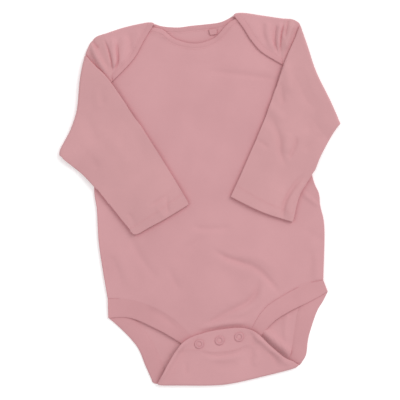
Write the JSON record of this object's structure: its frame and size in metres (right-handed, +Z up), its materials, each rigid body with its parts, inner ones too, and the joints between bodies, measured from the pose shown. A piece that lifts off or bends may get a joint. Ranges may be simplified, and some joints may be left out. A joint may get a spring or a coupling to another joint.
{
  "type": "baby bodysuit",
  "caption": "Long-sleeved knitted baby bodysuit with lap shoulders, laid flat on its back with the sleeves folded in and the crotch flap snapped closed.",
  "frame": {"origin": "on the surface it lies on, under the middle of its outline's box", "axes": "+Y from the crotch to the neck, +X to the right of the picture of its front, +Z up from the surface"},
  "size_m": [0.2938, 0.3828, 0.0107],
  "materials": {
    "cotton_body": "matt interlock knit, dusty pink",
    "cotton_sleeve": "matt interlock knit, dusty pink",
    "cotton_trim": "matt rib binding, dusty pink",
    "enamelled_snap": "satin enamel, pink",
    "cotton_tape": "matt woven tape, pink"
  },
  "bodies": {
    "root": {"back_panel": "cotton_body", "front_panel": "cotton_body", "sleeve_left": "cotton_sleeve", "sleeve_right": "cotton_sleeve", "neck_binding_front": "cotton_trim", "neck_binding_back": "cotton_trim", "leg_band_front_left": "cotton_trim", "leg_band_front_right": "cotton_trim", "leg_band_back_left": "cotton_trim", "leg_band_back_right": "cotton_trim", "snap_left": "enamelled_snap", "snap_middle": "enamelled_snap", "snap_right": "enamelled_snap", "neck_tab": "cotton_tape"}
  },
  "joints": []
}
